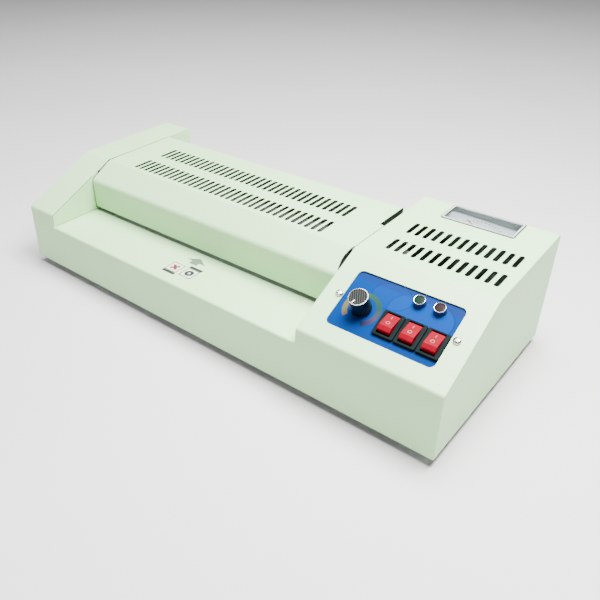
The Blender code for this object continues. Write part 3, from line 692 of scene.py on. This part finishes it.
def make_case():
    """The folded and welded shell with rounded edges all round."""
    outer = rounded(side_profile(), {2: 3.0, 3: 9.0, 4: 3.4}, 10)
    inner = rounded(inset(side_profile(), SHEET), {2: 1.8, 3: 7.8, 4: 2.2}, 10)
    tray = [(0, -BELOW), (TRAY_Y, -BELOW), (TRAY_Y, TRAY_BACK_H), (0, TRAY_FRONT_H)]
    exit_tray = [(EXIT_Y, -BELOW), (DEPTH, -BELOW), (DEPTH, TRAY_FRONT_H), (EXIT_Y, TRAY_BACK_H)]
    mid = (CHEEK_X - 1, HOUSING_X + 1)
    solid = boolean(prism(outer, 0, CHEEK_X), along_x(), [
        ("UNION", prism(rounded(tray, {3: 2.2}), *mid), along_x()),
        ("UNION", prism(rounded(exit_tray, {2: 2.2}), *mid), along_x()),
        ("UNION", prism(outer, HOUSING_X, WIDTH), along_x())])
    tidy(solid, 0.2)

    def outside(a, b):
        # mesh space here is (Y, Z, X)
        ends = any(abs(a.z - x) < 0.01 and abs(b.z - x) < 0.01 for x in (0.0, WIDTH))
        return ends and max(a.y, b.y) > -BELOW + 1

    def inside(a, b):
        ends = any(abs(a.z - x) < 0.01 and abs(b.z - x) < 0.01 for x in (CHEEK_X, HOUSING_X))
        return ends and min(a.y, b.y) > TRAY_BACK_H + 3

    round_edges(solid, 0.9, 4, outside)
    round_edges(solid, 0.5, 3, inside)
    hollows = [
        (prism(inner, SHEET, CHEEK_X - SHEET), along_x()),
        (prism(inner, HOUSING_X + SHEET, WIDTH - SHEET), along_x()),
        (box(*THROAT, SHEET, DEPTH - SHEET, -5, 38), upright()),
        (prism(inset(tray, SHEET), *THROAT), along_x()),
        (prism(inset(exit_tray, SHEET), *THROAT), along_x()),
        (box(*THROAT, TRAY_Y + 2, EXIT_Y - 2, 30, 92), upright()),
        # This strip of tray under the hood's front edge takes the grey inside look as painted
        # shade in the feed slot.
        (box(CHEEK_X + 0.5, HOUSING_X - 0.5, HOOD_FRONT_Y + 1, TRAY_Y + 3, 47.75, 50), upright())]
    # Vent walls take the near-black look as painted shade. The seam and foot grooves are real
    # joints, and their near-black walls are painted shade. The patch behind the hood's ends is
    # painted shade in that gap.
    dark = [(prism(rows_of_vents(*CASE_VENTS), *VENT_CUT), upright())]
    for outline, depth in ((seam_groove(), 0.5), (foot_groove(), 0.5), (hood_gap_shade(), 0.35)):
        dark.append((prism(outline, CHEEK_X - depth, CHEEK_X + 0.6), along_x()))
        dark.append((prism(outline, HOUSING_X - 0.6, HOUSING_X + depth), along_x()))
    underside = (box(-5, WIDTH + 5, -5, DEPTH + 5, -BELOW - 5, 0), upright())
    screw_holes = [circle(u, v, 1.9, 24) for u, v in PLATE_SCREWS.values()]
    rear_wall = basis((-1, 0, 0), (0, 0, 1), at(GLAND_X, DEPTH - SHEET, GLAND_H))
    openings = [
        (prism(rect(*PLATE_U, *PLATE_V, 5.0), -6, 6), on_panel()),
        (prism(rect(*WINDOW_U, *WINDOW_V, 1.0), -6, 6), on_top()),
        (prism(screw_holes, -6, 6), on_panel()),
        (prism(circle(0, 0, GLAND_HOLE_R), -5, 5), rear_wall)]
    shell = boolean(painted(solid, "coat"), along_x(),
                    cuts_of([underside], "coat") + cuts_of(hollows, "inside")
                    + cuts_of(dark, "shade") + cuts_of(openings, "coat"))
    obj = piece("case_shell", shell, along_x(), MATS["coat"], "case", True)
    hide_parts("main_case")


def notch(end_x, depth, inward):
    """Circle that cuts a shallow crescent into one end of the hood, over its front slope."""
    half = (HOOD_NOTCH_Y[1] - HOOD_NOTCH_Y[0]) / 2
    r = (half * half + depth * depth) / (2 * depth)
    return circle(end_x + inward * (depth - r), HOOD_NOTCH_Y[0] + half, r, 160)


def make_hood():
    """Vented cover with generous bends and rounded side edges."""
    shape = [(HOOD_FRONT_Y, HOOD_EDGE_H - 6), (HOOD_REAR_Y, HOOD_EDGE_H - 6),
             (HOOD_REAR_Y, 104.3), (CREASE_Y, 100.6), (56.5, 84.0)]
    x0, x1 = CHEEK_X + HOOD_SIDE_GAP, HOUSING_X - HOOD_SIDE_GAP
    outer = rounded(shape, {2: 2.5, 3: 9.0, 4: 6.0}, 12)
    solid = prism(outer, x0, x1)

    def ends(a, b):
        # mesh space here is (Y, Z, X), and the open lower edge stays sharp
        return abs(a.z - b.z) < 0.01 and max(a.y, b.y) > HOOD_EDGE_H - 4.8

    round_edges(solid, 0.7, 3, ends)
    hollow = inset(shape, SHEET)
    hollow = [(y, z - 6 if i < 2 else z) for i, (y, z) in enumerate(hollow)]
    wedge = [(x0 - 0.7, 80), (x0 + 1.4, 80), (x0 + 1.4, 84), (x0, 126), (x0 - 0.7, 126)]
    hollows = [
        (prism(rounded(hollow, {2: 1.3, 3: 7.8, 4: 4.8}, 12), x0 + SHEET, x1 - SHEET), along_x()),
        (box(*THROAT, 40, 190, 30, HOOD_EDGE_H), upright()),
        (box(*THROAT, HOOD_FRONT_Y + 6, HOOD_REAR_Y - 3, 40, 86), upright()),
        (box(HOUSING_X - HOOD_RELIEF_W, HOUSING_X + 5, HOOD_RELIEF_Y, HOOD_REAR_Y + 5, 40, 120),
         upright()),
        (prism(notch(x0, HOOD_NOTCHES[0], 1), 78, 112), upright()),
        (prism(notch(x1, HOOD_NOTCHES[1], -1), 78, 112), upright()),
        (prism(wedge, 86, 112), upright())]
    # Vent walls take the near-black look: painted shade.
    vents = (prism(rows_of_vents(*HOOD_VENTS), *VENT_CUT), upright())
    shell = boolean(painted(solid, "coat"), along_x(),
                    cuts_of(hollows, "inside") + cuts_of([vents], "shade"))
    dark = shell.materials.find(MATS["shade"].name)
    for face in shell.polygons:
        # faces square to X are the hood's ends; their near-black look is painted shade for the
        # gaps beside the hood
        if abs(face.normal.z) > 0.99:
            face.material_index = dark
    obj = piece("hood_shell", shell, along_x(), MATS["coat"], "case", True)
    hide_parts("hood")


def make_feet():
    """Four rubber pads, each hollow for its screw."""
    profile = [(2.3, 0), (9.4, 0), (10.0, -0.5), (9.9, -1.2), (8.9, -6.6), (8.6, -7.5),
               (7.9, -FOOT_H), (5.9, -FOOT_H), (5.5, -7.6), (5.3, -4.5), (2.3, -4.5)]
    spots = {"front_left": (25, 25), "front_right": (WIDTH - 25, 25),
             "rear_left": (25, DEPTH - 25), "rear_right": (WIDTH - 25, DEPTH - 25)}
    for name, (x, y) in spots.items():
        obj = piece("foot_pad_" + name, lathe(profile, 64), upright(x, y), MATS["foot"], "case")
        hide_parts("foot_" + name)


# ---- controls ----------------------------------------------------------------------------

def make_knob():
    """Body, bright ring, lined cap and pointer line."""
    u, v = KNOB_UV
    top, r = KNOB_TOP, KNOB_R
    body = [(0, top - 1.2), (7.45, top - 1.2), (7.45, top - 0.5), (7.9, top - 0.5),
            (8.05, top - 0.6), (8.1, top - 0.9), (8.2, top - 3.0), (r - 0.15, 1.2), (r, 0.5),
            (r - 0.1, 0.15), (r - 0.4, 0), (3.2, 0), (3.2, 9.3), (0, 9.3)]
    obj = piece("knob_body", lathe(body, 128), on_panel(u, v), MATS["black"], "knob")
    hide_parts("knob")
    ring = [(7.55, top - 0.1), (7.68, top), (7.92, top - 0.02), (8.08, top - 0.2),
            (8.08, top - 0.48), (7.8, top - 0.48), (7.55, top - 0.48)]
    piece("knob_ring", lathe(ring, 128), on_panel(u, v), MATS["chrome"], "knob")
    cap = [(0, top - 0.5), (7.3, top - 0.5), (7.45, top - 0.6), (7.45, top - 1.0), (0, top - 1.0)]
    obj = piece("knob_face", lathe(cap, 128), on_panel(u, v), MATS["face"], "knob")
    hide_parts("knob_cap")
    lean = math.radians(253)
    line = prism(rect(3.4, 6.9, -0.42, 0.42, 0.3, 4), top - 0.6, top - 0.42)
    piece("knob_pointer", line, on_panel(u, v) @ Matrix.Rotation(lean, 4, "Z"), MATS["pointer"],
          "knob")


def make_lamps():
    """Rim, collar and lens of each lamp."""
    base = PLATE_W + GAP
    rim = [(4.1, 2.9), (4.1, 3.5), (4.2, 3.7), (4.4, 3.75), (4.6, 3.66), (4.7, 3.45),
           (4.66, 3.15), (4.5, 2.9)]
    collar = [(0, 1.0), (4.05, 1.0), (4.05, 2.85), (4.45, 2.85), (4.6, 2.6), (4.7, 0.6),
              (5.0, -0.6), (5.0, base), (4.2, base), (4.2, -12.0), (0, -12.0)]
    dome = [(0, 3.3), (2.0, 3.26), (3.2, 3.17), (3.7, 3.02), (3.85, 2.75), (3.9, 1.3), (0, 1.3)]
    for name, uv in LAMPS.items():
        piece("lamp_rim_" + name, lathe(rim), on_panel(*uv), MATS["chrome"], "case")
        # the collar's plate blue is a painted reflection of the blue plate
        obj = piece("lamp_collar_plate_reflection_" + name, lathe(collar), on_panel(*uv), MATS["collar"], "case")
        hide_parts("lamp_bezel_" + name)
        obj = piece("lamp_dome_" + name, lathe(dome), on_panel(*uv), MATS[name + "_lens"], "case")
        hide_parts("lamp_lens_" + name)


def make_switch(number, u):
    """Frame, rocker and printed marks of one switch."""
    v0, v1 = SWITCH_V
    base, half = PLATE_W + GAP, SWITCH_W / 2
    flange = prism(rect(-half, half, v0, v1, 1.4), base, 1.0)
    round_edges(flange, 0.45, 4, lambda a, b: a.z > 0.9 and b.z > 0.9)
    hole = rect(-ROCKER_W / 2 - GAP, ROCKER_W / 2 + GAP, v0 + 1.9, v1 - 1.2, 0.5, 4)
    body = boolean(flange, Matrix.Identity(4), [
        ("UNION", prism(rect(-7.0, 7.0, v0 + 0.9, v1 - 0.4, 0.4, 3), -20, base + 0.5),
         Matrix.Identity(4)),
        ("DIFFERENCE", prism(hole, -9, 5), Matrix.Identity(4))])
    obj = piece("switch_frame_%d" % number, body, on_panel(u), MATS["dark"], "case",
                True)
    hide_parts("switch_bezel_%d" % number)
    rider = "rocker_%d" % number
    side = [(-8.2, -1.0), (-4.0, -3.6), (5.0, -4.4), (9.0, -2.6), (9.0, 4.1), (-3.9, 7.7),
            (-8.2, 6.4)]
    side = rounded(side, {4: 0.7, 5: 1.6, 6: 1.2}, 8)
    key = prism(side, -ROCKER_W / 2, ROCKER_W / 2)
    round_edges(key, 0.55, 4, lambda a, b: abs(a.z - b.z) < 0.01 and abs(a.z) > 5)
    c, s = math.cos(PANEL_TILT), math.sin(PANEL_TILT)
    pivot = on_panel(u, ROCKER_V, ROCKER_DROP).translation
    obj = piece("rocker_key_%d" % number, key, basis((0, c, s), (0, -s, c), pivot), MATS["red"],
                rider, True)
    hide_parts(rider)
    run, rise = 9.0 + 3.9, 7.7 - 4.1
    tilt = math.atan2(-rise, run)
    face = on_panel(u, ROCKER_V + 9.0, ROCKER_DROP + 4.1) @ Matrix.Rotation(tilt, 4, "X")
    piece("mark_on_%d" % number, prism(rect(-0.22, 0.22, -5.2, -2.5, 0.2, 4), -0.1, 0.06), face,
          MATS["mark"], rider)
    ring = prism([circle(0, -9.7, 1.65, 48), circle(0, -9.7, 1.25, 48)], -0.1, 0.06)
    piece("mark_off_%d" % number, ring, face, MATS["mark"], rider)


def make_panel_screws():
    """Pan heads with a cross recess, turned as the photo shows."""
    head = [(0, 2.4), (1.2, 2.36), (2.2, 2.12), (2.9, 1.65), (3.25, 1.0), (3.3, 0.6), (3.2, GAP),
            (1.6, GAP), (1.6, -8.0), (0, -8.0)]
    for name, turn in (("left", 17), ("right", 52)):
        place = Matrix.Rotation(math.radians(turn), 4, "Z")
        mesh = boolean(lathe(head, 48), Matrix.Identity(4),
                       [("DIFFERENCE", prism(plus(2.1, 0.36), 1.0, 4), place)])
        obj = piece("panel_screw_" + name, mesh, on_panel(*PLATE_SCREWS[name]), MATS["plated"],
                    "case")
        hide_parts("plate_screw_" + name)


def make_meter():
    """Thermometer window: pane, frame, painted-highlight ring, painted-shade ring and card below.
    """
    (u0, u1), (v0, v1) = WINDOW_U, WINDOW_V

    def ring(outer, inner):
        return [rect(u0 + t, u1 - t, v0 + t, v1 - t, max(1.2 - t, 0.4)) for t in (outer, inner)]

    pane = prism(ring(1.8, 1.8)[0], -1.2, 0.8)
    round_edges(pane, 0.3, 3, lambda a, b: a.z > 0.7 and b.z > 0.7)
    obj = piece("meter_pane", pane, on_top(), MATS["clear"], "case")
    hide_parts("meter_window")
    for name, outer, inner, low, high, look in (
            ("meter_frame", -0.9, 0.25, 0.03, 0.6, "outline"),
            # pale ring: its light colour is a painted highlight of the pane's edge
            ("meter_highlight_ring", 0.3, 1.35, -1.2, 0.95, "painted_highlight"),
            # dark ring: painted shade in the gap between the pale ring and the pane
            ("meter_gap_shade", 1.38, 1.77, -1.2, 0.85, "outline")):
        piece(name, prism(ring(outer, inner), low, high), on_top(), MATS[look], "case")
    card = prism([rect(u0 - 0.6, u1 + 0.6, v0 - 0.6, v1 - 0.6, 0.5), circle(*METER_UV, 2.7, 32)],
                 -7.6, -7.4)
    piece("meter_card", card, on_top(), MATS["card"], "case")


def make_tray_print():
    """Arrow and two loading pictograms, printed on the feed tray as thin ink."""
    def ink(name, loops, look, u, v, turn=0.0, thick=0.07):
        piece(name, prism(loops, 0.01, thick), on_tray(u, v) @ Matrix.Rotation(turn, 4, "Z"),
              MATS[look], "case")

    def square(reach):
        return rect(-reach, reach, -reach, reach)

    arrow = [(-5.0, 0), (5.0, 0), (5.0, 5.0), (12.2, 5.0), (0, 12.4), (-12.2, 5.0), (-5.0, 5.0)]
    ink("tray_arrow", arrow, "ink_grey", 214.9, 37.4)
    no, yes, v, half = 205.6, 224.9, 23.4, 7.4
    for name, u, look in (("no", no, "ink_brown"), ("yes", yes, "ink_dark")):
        ink("tray_frame_" + name, [square(half), square(half - 0.9)], look, u, v)
        ink("tray_label_" + name, square(half - 0.95), "label", u, v, thick=0.04)
    ink("tray_cross", plus(5.0, 1.45), "ink_red", no, v, math.radians(45), 0.1)
    ink("tray_ring", [circle(0, 0, 4.7), circle(0, 0, 1.4)], "ink_dark", yes, v, thick=0.1)
    ink("tray_bar_no", rect(-8.0, 8.0, -11.2, -7.7), "ink_dark", no + 0.6, v)
    ink("tray_bar_yes", rect(-8.0, 8.0, 7.7, 11.2), "ink_dark", yes, v)


# ---- camera, light and floor -------------------------------------------------------------

def make_camera():
    """Camera that sees the object as the photo does, from a spot in case millimetres."""
    pitch, roll, yaw = (math.radians(a) for a in (30.40, -0.44, -39.08))
    forward = Vector((math.sin(yaw) * math.cos(pitch), math.cos(yaw) * math.cos(pitch),
                      -math.sin(pitch)))
    right = Vector((math.cos(yaw), -math.sin(yaw), 0))
    down = forward.cross(right)
    across = right * math.cos(roll) + down * math.sin(roll)
    below = down * math.cos(roll) - right * math.sin(roll)
    data = bpy.data.cameras.new("camera")
    data.sensor_width = 36.0
    data.lens = 38.946
    data.shift_x, data.shift_y = 0.048167, -0.0385
    data.clip_start = 0.01
    camera = bpy.data.objects.new("camera", data)
    spot = at(623.8, -343.6, 358.3)
    camera.matrix_world = Matrix([[across[i], -below[i], -forward[i], spot[i]] for i in range(3)]
                                 + [[0, 0, 0, 1]])
    bpy.context.scene.collection.objects.link(camera)
    bpy.context.scene.camera = camera


def area_light(name, spot, target, size, power, colour=(1, 1, 1)):
    data = bpy.data.lights.new(name, "AREA")
    data.shape = "RECTANGLE"
    data.size, data.size_y = size
    data.energy = power
    data.color = colour
    light = bpy.data.objects.new(name, data)
    light.location = spot
    light.rotation_euler = (Vector(target) - Vector(spot)).to_track_quat("-Z", "Y").to_euler()
    bpy.context.scene.collection.objects.link(light)


def make_studio():
    """Soft overhead light, a smaller key, a weak fill and a plain pale floor."""
    world = bpy.data.worlds.new("studio")
    bpy.context.scene.world = world
    world.use_nodes = True
    sky = world.node_tree.nodes["Background"]
    sky.inputs["Color"].default_value = (1.0, 1.0, 1.0, 1)
    sky.inputs["Strength"].default_value = 0.27
    area_light("overhead", (0.0, 0.25, 1.9), (0.05, 0, 0), (1.6, 1.4), 100)
    area_light("key", (0.28, 0.02, 0.80), (0.20, 0, 0.05), (0.35, 0.35), 24, (1.0, 0.99, 0.97))
    area_light("fill", (-0.9, -1.1, 0.5), (-0.15, -0.1, 0.05), (1.2, 0.8), 5)
    mesh = bpy.data.meshes.new("floor")
    far = 6.0
    corners = [(-far, -far, 0), (far, -far, 0), (far, far, 0), (-far, far, 0)]
    mesh.from_pydata(corners, [], [(0, 1, 2, 3)])
    floor = bpy.data.objects.new("floor", mesh)
    p = Paint("floor")
    tones = [(0.4, (0.62, 0.62, 0.62)), (0.6, (0.64, 0.64, 0.64))]
    p.set("Base Color", p.ramp(p.noise(3.0), tones))
    p.set("Roughness", 0.8)
    mesh.materials.append(p.mat)
    bpy.context.scene.collection.objects.link(floor)


dress_cad()
make_case()
make_hood()
make_feet()
make_knob()
make_lamps()
for switch_number, switch_u in enumerate(SWITCH_U, 1):
    make_switch(switch_number, switch_u)
make_panel_screws()
make_meter()
make_tray_print()
make_camera()
make_studio()
